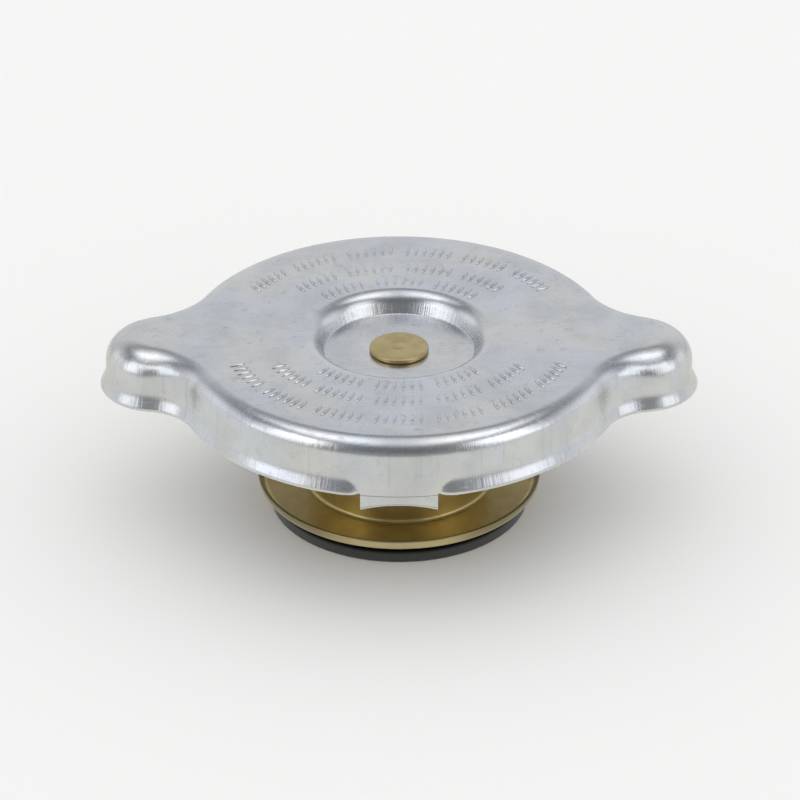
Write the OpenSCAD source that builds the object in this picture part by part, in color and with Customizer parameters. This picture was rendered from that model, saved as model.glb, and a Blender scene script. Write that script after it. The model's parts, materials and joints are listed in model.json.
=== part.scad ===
// Radiator pressure cap for a bayonet filler neck.
// A pressed steel shell turns on a brass rivet. The rivet carries the sprung diaphragm with its upper
// gasket and the bell. The pressure valve hangs in the bell on its sleeve, pushed down by the main
// spring, and the small vacuum valve hangs in the pressure valve.
// Millimetres. The origin is the centre of the pressure seal's lower face, Z is the cap's axis and
// points up, the finger ears lie on X and the cam tabs lie on Y.

/* [Shell] */
// Diameter of the round skirt, without its flare
shell_d = 66; // [62:0.5:72]
// Thickness of the pressed sheet
sheet_t = 0.9; // [0.7:0.05:1.1]
// Height of the skirt from its rim to the top plane
skirt_h = 8.75; // [8:0.05:10]
// Outer radius of the bend round the top edge
edge_r = 2.8; // [2:0.1:3.4]
// Height of the flare at the rim
flare_h = 2.8; // [2.2:0.1:3.2]
// Radius of the flare in section
flare_r = 5; // [4:0.25:6]

/* [Finger ears] */
// Distance across the tips of the two ears, without the flare
ear_span = 88.2; // [84:0.2:96]
// Radius of the round end of an ear
ear_r = 8.1; // [7:0.1:9.5]
// Radius of the hollow curve between an ear and the skirt
ear_fillet_r = 9; // [7:0.5:12]

/* [Recess] */
// Diameter of the recess where its lip leaves the top plane
recess_d = 28.7; // [27:0.1:31]
// Depth of the recess floor below the top plane
recess_depth = 3.05; // [2.8:0.05:3.4]
// Radius of the rounded lip of the recess
recess_lip_r = 2.5; // [2:0.05:2.6]

/* [Cam tabs] */
// Width of a cam tab
tab_w = 11.3; // [9:0.1:14]
// Drop of the tab below the rim, at its middle
tab_drop = 2.1; // [1.6:0.1:3]
// Rise of the arched tab from its sides to its middle
tab_arch = 1.1; // [0.6:0.1:1.4]
// Reach of the folded lug inwards from the skirt's outer face
lug_reach = 7.4; // [5:0.1:8]
// Angle from a tab's centre to where the flare has its full width
flare_fade_a = 21; // [19:1:28]

/* [Rivet] */
// Diameter of the rivet's head
rivet_head_d = 8.9; // [8:0.1:11]
// Thickness of the rivet's head
rivet_head_t = 0.8; // [0.6:0.05:1.2]
// Diameter of the rivet's shank
rivet_d = 5.6; // [4:0.1:6.4]
// Diameter of the clinched tail
rivet_tail_d = 8.4; // [7.5:0.1:10]
// Thickness of the clinched tail
rivet_tail_t = 0.9; // [0.6:0.05:1.4]
// Mean diameter of the fine ring that the punch leaves in the head
punch_ring_d = 2.3; // [2:0.1:4]
// Width of that ring
punch_ring_w = 0.3; // [0.2:0.05:0.5]

/* [Upper seal] */
// Diameter of the sprung diaphragm
diaphragm_d = 54.8; // [52:0.1:57]
// Thickness of the diaphragm
diaphragm_t = 0.4; // [0.3:0.05:0.6]
// Fall of the diaphragm from its middle to its rim
diaphragm_fall = 1.15; // [0.6:0.05:1.6]
// Overlap of the diaphragm's flat land past the gasket's bore
diaphragm_land_w = 1; // [0.5:0.1:2]
// Depth of the turned-down rim that holds the upper gasket
diaphragm_lip_h = 0.9; // [0.6:0.05:1.2]
// Inner diameter of the upper gasket
gasket_bore_d = 42.8; // [42:0.1:46]
// Thickness of the upper gasket
gasket_t = 1.8; // [1.4:0.1:2.2]

/* [Bell] */
// Sheet thickness of the bell
bell_t = 0.5; // [0.4:0.05:0.6]
// Height of the bell over its lip
bell_h = 12.95; // [12:0.05:15]
// Width of the bell's out-turned lip beyond its wall
bell_lip_w = 1; // [0.8:0.05:1.2]
// Inner radius of the bend between the bell's wall and its lip
bell_bend_r = 0.3; // [0.2:0.05:0.4]
// Outer radius of the bell's top corner
bell_corner_r = 1.4; // [1:0.1:1.8]

/* [Pressure valve] */
// Diameter of the valve plate over its curled rim
plate_d = 43; // [41.6:0.1:43.2]
// Sheet thickness of the valve plate
plate_t = 0.6; // [0.5:0.05:0.8]
// Outer radius of the curled rim
plate_curl_r = 2; // [1.4:0.1:2.2]
// Outer diameter of the sleeve
sleeve_d = 27.4; // [27:0.1:28.4]
// Sheet thickness of the sleeve
sleeve_t = 0.5; // [0.4:0.05:0.6]
// Height of the sleeve
sleeve_h = 8.7; // [7:0.1:10]
// Outer radius of the sleeve's rounded corners
sleeve_corner_r = 1.1; // [0.8:0.1:1.3]
// Outer diameter of the pressure seal
seal_d = 39.2; // [37:0.1:39.4]
// Inner diameter of the seal's thick ring
seal_ring_bore_d = 25.6; // [24:0.1:28]
// Thickness of the seal's ring
seal_t = 2.8; // [2.6:0.1:3.6]
// Radius of the round lower edges of the seal's ring
seal_edge_r = 0.3; // [0.2:0.05:0.5]
// Thickness of the seal's inner web
seal_web_t = 1.5; // [1.2:0.1:1.8]
// Sheet thickness of the retainer
retainer_t = 0.5; // [0.4:0.05:0.6]
// Radius of the bead that stakes the retainer over the sleeve's floor
retainer_bead_r = 0.35; // [0.25:0.05:0.4]
// Height of the retainer's hat over the top of the sleeve's floor
retainer_rise = 3.1; // [2.6:0.1:4]

/* [Main spring] */
// Wire diameter of the main spring
main_wire_d = 2.2; // [1.8:0.1:2.2]
// Number of turns of the main spring, with its closed ends
main_turns = 5.5; // [4.5:0.25:6]

/* [Vacuum valve] */
// Thickness of the disc
vacuum_disc_t = 0.6; // [0.4:0.05:0.8]
// Thickness of the vacuum seal
vacuum_seal_t = 1; // [0.6:0.05:1.2]
// Margin of the disc round the vacuum seal
vacuum_seal_inset = 0.2; // [0.1:0.05:0.4]
// Ledge between the vacuum spring and the port in the retainer's hat
vacuum_ledge_w = 0.4; // [0.3:0.05:0.6]
// Diameter of the stem
vacuum_stem_d = 2.4; // [1.8:0.1:3]
// Overhang of the stem's headed end
vacuum_head_w = 0.7; // [0.5:0.05:1]
// Thickness of the stem's headed end
vacuum_head_t = 0.5; // [0.4:0.05:0.8]
// Wire diameter of the vacuum spring
vacuum_wire_d = 0.4; // [0.3:0.05:0.5]
// Mean diameter of the vacuum spring's coil
vacuum_coil_d = 6; // [5.8:0.1:6.4]
// Fitted length of the vacuum spring
vacuum_spring_h = 4.3; // [3.8:0.1:5]
// Number of turns of the vacuum spring
vacuum_turns = 5; // [4:0.5:6]
// Diameter of the spring cap
vacuum_cap_d = 7.4; // [7:0.1:8.5]
// Thickness of the spring cap
vacuum_cap_t = 0.5; // [0.4:0.05:0.7]

/* [Fits] */
// Radial play of the shell on the rivet
swivel_gap = 0.1; // [0.05:0.01:0.1]
// Radial play of the sleeve's flange round the bell's wall
guide_gap = 0.3; // [0.2:0.05:0.4]
// Radial play of the bell's lip inside the sleeve's wall
lip_gap = 0.7; // [0.6:0.05:1]
// Radial play of the main spring inside the bell's wall
spring_gap = 0.3; // [0.3:0.05:0.5]
// Radial play of the retainer's hat inside the main spring
hat_gap = 0.6; // [0.6:0.05:1]
// Radial play of the vacuum valve's disc inside the retainer's hat
disc_gap = 1; // [0.6:0.1:2]
// Radial play of pieces that are stacked on a stem or a hat
stack_gap = 0.05; // [0.02:0.01:0.1]
// Gap of the springs to what they seat on
seat_gap = 0.02; // [0.01:0.01:0.05]

/* [Hidden] */
$fn = 96;
// Overrun of a cutting solid past the face it cuts
cut = 0.5;

// Diameters, nested inwards from the sleeve
bell_lip_d = sleeve_d - 2 * sleeve_t - 2 * lip_gap;
bell_d = bell_lip_d - 2 * bell_lip_w;
main_coil_d = bell_d - 2 * bell_t - 2 * spring_gap - main_wire_d;
retainer_d = main_coil_d - main_wire_d - 2 * hat_gap;
vacuum_disc_d = retainer_d - 2 * retainer_t - 2 * disc_gap;

// Levels, stacked up from the seal's lower face
plate_z = seal_t;
sleeve_z = plate_z + plate_t;
sleeve_floor_z = sleeve_z + sleeve_t;
sleeve_top_z = sleeve_z + sleeve_h;
bell_lip_z = sleeve_top_z - sleeve_t - bell_t;
bell_top_z = bell_lip_z + bell_h;
bell_roof_z = bell_top_z - bell_t;
recess_under_z = bell_top_z + diaphragm_t;
recess_floor_z = recess_under_z + sheet_t;
top_z = recess_floor_z + recess_depth;
rim_z = top_z - skirt_h;
retainer_flange_z = seal_t - seal_web_t - retainer_t;
retainer_top_z = sleeve_floor_z + retainer_rise;
vacuum_seat_z = retainer_top_z - retainer_t;
vacuum_disc_z = vacuum_seat_z - vacuum_seal_t - vacuum_disc_t;
vacuum_cap_z = retainer_top_z + vacuum_spring_h;
gasket_top_z = bell_top_z - diaphragm_fall;

// Shell
shell_r = shell_d / 2;
flare_out = flare_r - sqrt(pow(flare_r, 2) - pow(flare_h, 2));
flare_z = rim_z + flare_h;
// Width of the flat margin that is swept together with a bend
top_margin = 2;
recess_r = recess_d / 2;
recess_foot_r = recess_depth - recess_lip_r;
recess_floor_r = recess_r - recess_lip_r - recess_foot_r;
rivet_r = rivet_d / 2;

// Ear outline: the hollow curve touches the skirt at ear_a and the ear's round end at ear_b
ear_x = ear_span / 2 - ear_r;
fillet_x = (pow(ear_x, 2) + pow(shell_r + ear_fillet_r, 2) - pow(ear_r + ear_fillet_r, 2)) / (2 * ear_x);
fillet_y = sqrt(pow(shell_r + ear_fillet_r, 2) - pow(fillet_x, 2));
ear_a = atan2(fillet_y, fillet_x);
ear_b = atan2(fillet_y, fillet_x - ear_x);
// Start of the round wall beside an ear, to a twentieth of a degree
wall_a = round(20 * ear_a) / 20;
// Thinning of the sheet where it is drawn round the hollow curve, and that curve's overrun into the walls
ear_draft = 0.02;
ear_overrun_a = 1;

// Tabs: the flare dies out towards a tab along a circle whose centre is shifted along X by fade_x
tab_a = asin(tab_w / shell_d);
tab_z = rim_z - tab_drop;
tab_low_z = tab_z - 2 * tab_arch;
tab_root_z = rim_z + sheet_t;
tab_arch_r = (pow(tab_w / 2, 2) + pow(tab_arch, 2)) / (2 * tab_arch);
// Thinning of the sheet where the tab is drawn down from the skirt
tab_draft = 0.02;
fade_step = 0.05;
fade_x = (flare_out - fade_step) / (sin(flare_fade_a) - sin(tab_a));
fade_at_x = (shell_r - fade_step) * sin(flare_fade_a) - fade_x;
fade_at_y = (shell_r - fade_step) * cos(flare_fade_a);
fade_r = norm([fade_at_x, fade_at_y]);
fade_start_a = atan2(fade_at_y, fade_at_x);
fade_overrun_a = 1;
fade_end_a = fade_start_a + flare_fade_a - tab_a + 3 * fade_overrun_a;

// Upper seal
diaphragm_r = diaphragm_d / 2;
gasket_r = diaphragm_r - diaphragm_t - stack_gap;
diaphragm_land_r = gasket_bore_d / 2 - diaphragm_land_w;

// Pressure valve
retainer_r = retainer_d / 2;
retainer_bore_r = retainer_r - retainer_t;
retainer_flange_r = seal_ring_bore_d / 2 - guide_gap;
vacuum_port_r = vacuum_coil_d / 2 - vacuum_wire_d / 2 - vacuum_ledge_w;
vacuum_head_r = vacuum_stem_d / 2 + vacuum_head_w;
vacuum_top_z = vacuum_cap_z + vacuum_cap_t + vacuum_head_t;

// Quarter ring of a bent sheet: r is the outer radius, t the sheet, q the quarter counted from +X +Y
module bend(r, t, q) {
    intersection() {
        difference() {
            circle(r);
            circle(r - t);
        }
        rotate(90 * q) square(r);
    }
}

// Sweeps a section round the centre c from angle a0 to a1
module sweep(c, a0, a1) {
    translate(c) rotate_extrude(angle = a1 - a0, start = a0) children();
}

// Section of the shell above the flare, thinned by draft on each face: x = 0 is the skirt's outer face
// and y is the height
module upper_section(draft) {
    t = sheet_t - 2 * draft;
    translate([draft - edge_r - top_margin, top_z - sheet_t + draft]) square([top_margin - draft, t]);
    translate([-edge_r, top_z - edge_r]) bend(edge_r - draft, t, 0);
    translate([draft - sheet_t, flare_z]) square([t, top_z - edge_r - flare_z]);
}

// Everything between the line x = -depth and the flare's curve of radius r
module flare_fill(r, depth, over) {
    difference() {
        translate([-depth, rim_z - over]) square([depth + flare_out, flare_h + over]);
        translate([flare_r, flare_z]) circle(r);
    }
}

module flare_section(draft) {
    intersection() {
        translate([flare_r, flare_z]) bend(flare_r + sheet_t - draft, sheet_t - 2 * draft, 2);
        translate([-sheet_t, rim_z + draft]) square([flare_out + sheet_t, flare_h - draft]);
    }
}

// Sweep round the shifted centre on the tab's right (side = 1) or left (side = -1) side
module fade_sweep(side, over) {
    a0 = fade_start_a - over;
    a1 = fade_end_a + over;
    if (side > 0) sweep([fade_x, 0], a0, a1) translate([fade_r, 0]) children();
    else sweep([-fade_x, 0], 180 - a1, 180 - a0) translate([fade_r, 0]) children();
}

// Skirt over a tab: the wall is straight at the tab, and the flare grows out of it on both sides
module faded_skirt() {
    difference() {
        union() {
            sweep([0, 0], 90 - flare_fade_a, 90 + flare_fade_a) translate([shell_r, 0]) {
                upper_section(0);
                translate([-sheet_t, rim_z]) square([sheet_t, flare_h]);
            }
            for (side = [-1, 1]) fade_sweep(side, fade_overrun_a) flare_fill(flare_r, 0, 0);
        }
        for (side = [-1, 1])
            fade_sweep(side, 2 * fade_overrun_a) flare_fill(flare_r + sheet_t, 3 * sheet_t, cut);
    }
}

module full_section(draft) {
    upper_section(draft);
    flare_section(draft);
}

// Hollow curve on one side of an ear
module ear_hollow(y, a0, a1) {
    sweep([fillet_x, y], a0 - ear_overrun_a, a1 + ear_overrun_a)
        translate([ear_fillet_r, 0]) mirror([1, 0]) full_section(ear_draft);
}

// Half of the skirt: the wall over one tab, the round wall on both sides of it, and one ear
module skirt_half() {
    faded_skirt();
    sweep([0, 0], wall_a, 90 - flare_fade_a) translate([shell_r, 0]) full_section(0);
    sweep([0, 0], 90 + flare_fade_a, 180 - wall_a) translate([shell_r, 0]) full_section(0);
    sweep([ear_x, 0], -ear_b, ear_b) translate([ear_r, 0]) full_section(0);
    ear_hollow(fillet_y, 180 + ear_a, 180 + ear_b);
    ear_hollow(-fillet_y, 180 - ear_b, 180 - ear_a);
}

// Outline of the flat top, set in from the skirt's outer face
module top_outline(inset) {
    circle(shell_r - inset);
    for (side = [0, 180]) rotate(side) {
        translate([ear_x, 0]) circle(ear_r - inset);
        difference() {
            polygon([[0, 0], [fillet_x, -fillet_y], [ear_x, 0], [fillet_x, fillet_y]]);
            for (s = [-1, 1]) translate([fillet_x, s * fillet_y]) circle(ear_fillet_r + inset);
        }
    }
}

// Lip, foot and floor of the recess, with the rivet's hole
module recess_section() {
    translate([recess_r, top_z - sheet_t]) square([top_margin, sheet_t]);
    translate([recess_r, top_z - recess_lip_r]) bend(recess_lip_r, sheet_t, 1);
    translate([recess_floor_r, top_z - recess_lip_r]) bend(recess_foot_r + sheet_t, sheet_t, 3);
    translate([rivet_r + swivel_gap, recess_under_z])
        square([recess_floor_r - rivet_r - swivel_gap, sheet_t]);
}

// Disc whose edge is the arch of a tab, seen along Y
module tab_disc(r) {
    translate([0, tab_z - tab_arch_r]) circle(r);
}

// Ring of the tab's height round the cap's axis
module tab_ring(bore_r, top) {
    translate([0, 0, tab_low_z]) difference() {
        cylinder(h = top - tab_low_z, r = shell_r - tab_draft);
        translate([0, 0, -cut]) cylinder(h = top - tab_low_z + 2 * cut, r = bore_r);
    }
}

// A tab goes straight down from the skirt and is folded inwards to a lug, arched across its width
module cam_tab() {
    difference() {
        intersection() {
            union() {
                tab_ring(shell_r - sheet_t + tab_draft, tab_root_z);
                intersection() {
                    tab_ring(shell_r - lug_reach, rim_z);
                    translate([0, shell_r, 0]) rotate([90, 0, 0])
                        linear_extrude(shell_r) tab_disc(tab_arch_r + sheet_t);
                }
            }
            translate([-tab_w / 2, 0, tab_low_z]) cube([tab_w, shell_r + cut, tab_root_z - tab_low_z]);
        }
        translate([0, shell_r + cut, 0]) rotate([90, 0, 0]) linear_extrude(shell_r) tab_disc(tab_arch_r);
    }
}

// Skirt all the way round, with its two tabs
module skirt() {
    for (a = [0, 180]) rotate(a) skirt_half();
    for (a = [0, 180]) rotate(a) cam_tab();
}

// Flat top with the recess drawn into it
module top() {
    translate([0, 0, top_z - sheet_t]) linear_extrude(sheet_t) difference() {
        top_outline(edge_r + top_margin / 2);
        circle(recess_r + top_margin / 2);
    }
    rotate_extrude() recess_section();
}

module shell() {
    color("silver") {
        skirt();
        top();
    }
}

// The head has a round edge and a fine ring left by the riveting punch
module rivet() {
    edge = rivet_head_t / 3;
    color("darkgoldenrod") rotate_extrude() difference() {
        union() {
            translate([0, bell_roof_z]) square([rivet_r, recess_floor_z - bell_roof_z]);
            translate([0, recess_floor_z]) square([rivet_head_d / 2 - edge, rivet_head_t]);
            translate([0, recess_floor_z]) square([rivet_head_d / 2, rivet_head_t - edge]);
            translate([rivet_head_d / 2 - edge, recess_floor_z + rivet_head_t - edge]) intersection() {
                circle(edge);
                square(edge);
            }
            translate([0, bell_roof_z - rivet_tail_t]) square([rivet_tail_d / 2, rivet_tail_t]);
        }
        translate([punch_ring_d / 2, recess_floor_z + rivet_head_t]) circle(d = punch_ring_w);
    }
}

// Flat middle, falling cone, flat land over the gasket and a turned-down rim
module diaphragm() {
    hub_r = recess_floor_r - guide_gap;
    color("gainsboro") rotate_extrude() {
        polygon([
            [rivet_r + stack_gap, bell_top_z],
            [hub_r, bell_top_z],
            [diaphragm_land_r, gasket_top_z],
            [diaphragm_r, gasket_top_z],
            [diaphragm_r, gasket_top_z + diaphragm_t],
            [diaphragm_land_r, gasket_top_z + diaphragm_t],
            [hub_r, bell_top_z + diaphragm_t],
            [rivet_r + stack_gap, bell_top_z + diaphragm_t]
        ]);
        translate([diaphragm_r - diaphragm_t, gasket_top_z + diaphragm_t - diaphragm_lip_h])
            square([diaphragm_t, diaphragm_lip_h]);
    }
}

module upper_gasket() {
    color("dimgray") translate([0, 0, gasket_top_z - gasket_t]) difference() {
        cylinder(h = gasket_t, r = gasket_r);
        translate([0, 0, -cut]) cylinder(h = gasket_t + 2 * cut, d = gasket_bore_d);
    }
}

// Inverted cup with an out-turned lip that the sleeve's flange hangs on
module bell() {
    bell_r = bell_d / 2;
    hole_r = rivet_r + stack_gap;
    lip_bend_r = bell_t + bell_bend_r;
    color("goldenrod") rotate_extrude() {
        translate([hole_r, bell_roof_z]) square([bell_r - bell_corner_r - hole_r, bell_t]);
        translate([bell_r - bell_corner_r, bell_top_z - bell_corner_r]) bend(bell_corner_r, bell_t, 0);
        translate([bell_r - bell_t, bell_lip_z + lip_bend_r])
            square([bell_t, bell_h - bell_corner_r - lip_bend_r]);
        translate([bell_r - bell_t + lip_bend_r, bell_lip_z + lip_bend_r]) bend(lip_bend_r, bell_t, 2);
        translate([bell_r - bell_t + lip_bend_r, bell_lip_z])
            square([bell_lip_d / 2 - bell_r + bell_t - lip_bend_r, bell_t]);
    }
}

// Round drawn cup: floor, wall and in-turned flange that hangs on the bell's lip
module valve_sleeve() {
    sleeve_r = sleeve_d / 2;
    corner_x = sleeve_r - sleeve_corner_r;
    flange_bore_r = bell_d / 2 + guide_gap;
    hole_r = retainer_r + stack_gap;
    color("goldenrod") rotate_extrude() {
        translate([hole_r, sleeve_z]) square([corner_x - hole_r, sleeve_t]);
        translate([corner_x, sleeve_z + sleeve_corner_r]) bend(sleeve_corner_r, sleeve_t, 3);
        translate([sleeve_r - sleeve_t, sleeve_z + sleeve_corner_r])
            square([sleeve_t, sleeve_h - 2 * sleeve_corner_r]);
        translate([corner_x, sleeve_top_z - sleeve_corner_r]) bend(sleeve_corner_r, sleeve_t, 0);
        translate([flange_bore_r, sleeve_top_z - sleeve_t]) square([corner_x - flange_bore_r, sleeve_t]);
    }
}

// Flat disc with an upward curled rim
module valve_plate() {
    hole_r = retainer_r + stack_gap;
    flat_r = plate_d / 2 - plate_curl_r;
    color("darkgoldenrod") rotate_extrude() {
        translate([hole_r, plate_z]) square([flat_r - hole_r, plate_t]);
        translate([flat_r, plate_z + plate_curl_r]) bend(plate_curl_r, plate_t, 3);
    }
}

// Thick sealing ring with rounded lower edges and a thin inner web
module pressure_seal() {
    edge = seal_edge_r;
    ring_r = seal_ring_bore_d / 2;
    hole_r = retainer_r + stack_gap;
    color("dimgray") rotate_extrude() {
        translate([ring_r, edge]) square([seal_d / 2 - ring_r, seal_t - edge]);
        translate([ring_r + edge, 0]) square([seal_d / 2 - ring_r - 2 * edge, edge]);
        for (x = [ring_r + edge, seal_d / 2 - edge]) translate([x, edge]) circle(edge);
        translate([hole_r, seal_t - seal_web_t]) square([ring_r - hole_r, seal_web_t]);
    }
}

// Hat with a flange under the seal's web, staked over the sleeve's floor by a bead
module seal_retainer() {
    color("goldenrod") rotate_extrude() {
        translate([retainer_bore_r, retainer_flange_z])
            square([retainer_flange_r - retainer_bore_r, retainer_t]);
        translate([retainer_bore_r, retainer_flange_z])
            square([retainer_t, retainer_top_z - retainer_flange_z]);
        translate([vacuum_port_r, vacuum_seat_z]) square([retainer_r - vacuum_port_r, retainer_t]);
        intersection() {
            translate([retainer_r, sleeve_floor_z + retainer_bead_r]) circle(retainer_bead_r);
            translate([retainer_bore_r, sleeve_floor_z]) square([2 * retainer_t, 2 * retainer_bead_r]);
        }
    }
}

// Disc and stem in one piece, with the stem's end headed over the spring cap
module vacuum_valve() {
    color("darkgoldenrod") {
        translate([0, 0, vacuum_disc_z]) cylinder(h = vacuum_disc_t, d = vacuum_disc_d);
        translate([0, 0, vacuum_disc_z]) cylinder(h = vacuum_top_z - vacuum_disc_z, d = vacuum_stem_d);
        translate([0, 0, vacuum_top_z - vacuum_head_t]) cylinder(h = vacuum_head_t, r = vacuum_head_r);
    }
}

module vacuum_seal() {
    color("dimgray") translate([0, 0, vacuum_seat_z - vacuum_seal_t]) difference() {
        cylinder(h = vacuum_seal_t, r = vacuum_disc_d / 2 - vacuum_seal_inset);
        translate([0, 0, -cut]) cylinder(h = vacuum_seal_t + 2 * cut, r = vacuum_stem_d / 2 + stack_gap);
    }
}

module vacuum_spring_cap() {
    color("goldenrod") translate([0, 0, vacuum_cap_z]) difference() {
        cylinder(h = vacuum_cap_t, d = vacuum_cap_d);
        translate([0, 0, -cut]) cylinder(h = vacuum_cap_t + 2 * cut, r = vacuum_stem_d / 2 + stack_gap);
    }
}

// Height of the wire's centre after t of n turns: one close turn at each end, open turns between
function coil_z(t, n, h, pitch) =
    t < 1 ? pitch * t : t > n - 1 ? h - pitch * (n - t) : pitch + (h - 2 * pitch) * (t - 1) / (n - 2);

// Coil spring of wire w between the heights z0 and z1
module coil(d, w, n, z0, z1, sides, steps) {
    h = z1 - z0 - w;
    close = w * 1.05;
    last = n * steps;
    points = [
        for (i = [0 : last]) for (j = [0 : sides - 1])
            let (a = 360 * i / steps, b = 360 * j / sides, r = d / 2 + w / 2 * cos(b))
                [r * cos(a), r * sin(a), z0 + w / 2 + coil_z(i / steps, n, h, close) + w / 2 * sin(b)]
    ];
    skin = [
        for (i = [0 : last - 1]) for (j = [0 : sides - 1])
            let (k = (j + 1) % sides, p = i * sides, q = (i + 1) * sides)
                each [[p + j, p + k, q + j], [p + k, q + k, q + j]]
    ];
    ends = [
        [for (j = [0 : sides - 1]) sides - 1 - j],
        [for (j = [0 : sides - 1]) last * sides + j]
    ];
    polyhedron(points, concat(skin, ends));
}

module main_spring() {
    color("slategray") coil(
        main_coil_d, main_wire_d, main_turns, sleeve_floor_z + seat_gap, bell_roof_z - seat_gap, 10, 28
    );
}

module vacuum_spring() {
    color("slategray") coil(
        vacuum_coil_d, vacuum_wire_d, vacuum_turns, retainer_top_z + seat_gap, vacuum_cap_z - seat_gap, 8, 20
    );
}

shell();
rivet();
diaphragm();
upper_gasket();
bell();
main_spring();
valve_sleeve();
valve_plate();
pressure_seal();
seal_retainer();
vacuum_valve();
vacuum_seal();
vacuum_spring();
vacuum_spring_cap();
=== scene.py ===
"""Looks of a radiator pressure cap, its stage and its camera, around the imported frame.

Lengths in the panel are metres. The pieces are worked out in millimetres, in the cap's own frame: Z is
its axis, the finger ears lie on X and the cam tabs on Y.
"""

import json
import math
from functools import partialmethod

import bmesh
import bpy
import numpy as np
from bpy.props import FloatProperty, FloatVectorProperty, IntProperty, PointerProperty
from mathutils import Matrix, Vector


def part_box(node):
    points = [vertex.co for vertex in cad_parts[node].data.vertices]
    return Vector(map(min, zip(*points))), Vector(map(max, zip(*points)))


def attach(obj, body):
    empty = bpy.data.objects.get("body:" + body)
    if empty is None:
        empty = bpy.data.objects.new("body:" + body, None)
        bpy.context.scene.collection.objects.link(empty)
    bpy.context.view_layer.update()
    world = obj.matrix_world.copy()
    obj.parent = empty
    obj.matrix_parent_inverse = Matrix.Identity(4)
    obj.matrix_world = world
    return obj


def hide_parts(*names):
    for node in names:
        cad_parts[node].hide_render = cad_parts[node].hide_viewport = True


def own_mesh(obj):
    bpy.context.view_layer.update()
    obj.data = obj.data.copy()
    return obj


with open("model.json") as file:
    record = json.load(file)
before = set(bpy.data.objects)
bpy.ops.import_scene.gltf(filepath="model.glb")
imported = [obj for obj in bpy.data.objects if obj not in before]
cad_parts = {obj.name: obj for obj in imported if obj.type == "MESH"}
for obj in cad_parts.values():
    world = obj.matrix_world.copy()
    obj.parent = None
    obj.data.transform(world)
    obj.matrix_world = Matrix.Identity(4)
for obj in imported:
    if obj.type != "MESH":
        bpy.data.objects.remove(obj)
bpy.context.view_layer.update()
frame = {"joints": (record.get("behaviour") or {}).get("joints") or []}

bl_info = {
    "name": "Radiator pressure cap",
    "version": (1, 0, 0),
    "blender": (4, 5, 0),
    "location": "3D View > Sidebar > Cap",
    "description": "Builds the cap's shell, valves and springs, and the stage round them",
    "category": "Object",
}

MM = 0.001


def low(node):
    """Lowest level of a CAD node, in millimetres"""
    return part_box(node)[0][2] / MM


def high(node):
    """Highest level of a CAD node, in millimetres"""
    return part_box(node)[1][2] / MM


def reach(node):
    """Largest radius of a turned CAD node, in millimetres"""
    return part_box(node)[1][0] / MM


def length(name, about, size):
    return FloatProperty(name=name, description=about, default=size * MM, min=0, precision=5, unit="LENGTH")


def angle(name, about, degrees):
    return FloatProperty(name=name, description=about, default=math.radians(degrees), subtype="ANGLE")


def share(name, about, value):
    return FloatProperty(name=name, description=about, default=value, min=0, max=1, subtype="FACTOR")


def colour(name, about, value):
    return FloatVectorProperty(
        name=name, description=about, default=value, min=0, max=1, size=3, subtype="COLOR"
    )


def number(name, about, value, least=0):
    return FloatProperty(name=name, description=about, default=value, min=least)


def whole(name, about, value, least):
    return IntProperty(name=name, description=about, default=value, min=least)


class ShellSizes(bpy.types.PropertyGroup):
    skirt_radius: length("Skirt radius", "Radius of the round skirt's outer face", 33)
    sheet: length("Sheet", "Thickness of the pressed sheet", 0.9)
    skirt_height: length("Skirt height", "Height from the rim to the top plane", 8.75)
    edge_radius: length("Edge radius", "Outer radius of the bend round the top", 2.8)
    ear_edge: length("Ear edge", "Outer radius of the bend round an ear's end", 4.4)
    flare_height: length("Flare height", "Height of the flare over the rim", 3.5)
    flare_radius: length("Flare radius", "Radius of the bend into the flare", 4.5)
    flare_slope: angle("Flare slope", "Lean of the flare outwards", 25)
    fade_angle: angle("Fade angle", "Angle from a tab's middle to the full flare", 19.5)
    ear_span: length("Ear span", "Distance across the ears, without their flare", 88.2)
    ear_radius: length("Ear radius", "Radius of an ear's round end", 8.1)
    hollow_radius: length("Hollow radius", "Radius of the hollow curve beside an ear", 9)
    recess_radius: length("Recess radius", "Radius where the recess leaves the top plane", 14.35)
    recess_depth: length("Recess depth", "Depth of the recess floor", 3.05)
    lip_radius: length("Lip radius", "Radius of the recess's rounded lip", 2.5)
    foot_radius: length("Foot radius", "Radius of the hollow round the recess floor", 0.35)
    wall_slope: angle("Wall slope", "Lean of the recess's wall", 25)
    hole_radius: length("Hole radius", "Radius of the rivet's hole", 2.9)
    tab_width: length("Tab width", "Width of a cam tab", 11.3)
    tab_drop: length("Tab drop", "Drop of a tab's middle below the rim", 2.1)
    tab_arch: length("Tab arch", "Rise of a tab's arch from its sides to its middle", 1.1)
    fold_height: length("Fold height", "Height of the tab's fold over its middle", 1.25)
    lug_reach: length("Lug reach", "Reach of the folded lug inwards from the skirt", 7.4)


class TickSizes(bpy.types.PropertyGroup):
    pitch: length("Pitch", "Distance between two ticks along a row", 1.3)
    stroke: length("Stroke", "Length of a tick", 2.6)
    width: length("Width", "Width of a tick at its foot", 0.5)
    rise: length("Rise", "Height of a tick over the top plane", 0.26)
    group: whole("Group", "Places of a row from one blank place to the next", 7, 2)


class ValveSizes(bpy.types.PropertyGroup):
    brass_sheet: length("Brass sheet", "Thickness of the sleeve, the bell and the retainer", 0.5)
    plate_sheet: length("Plate sheet", "Thickness of the valve plate", 0.6)
    plate_curl: length("Plate curl", "Outer radius of the plate's curled rim", 2)
    sleeve_corner: length("Sleeve corner", "Outer radius of the sleeve's rounded corners", 1.1)
    sleeve_fillet: length("Sleeve fillet", "Radius of the brazed fillet round the sleeve's foot", 0.7)
    seal_edge: length("Seal edge", "Radius of the seal's lower edges", 0.3)
    seal_web: length("Seal web", "Thickness of the seal's inner web", 1.5)
    segments: whole("Segments", "Steps round a turned piece", 192, 24)


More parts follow.
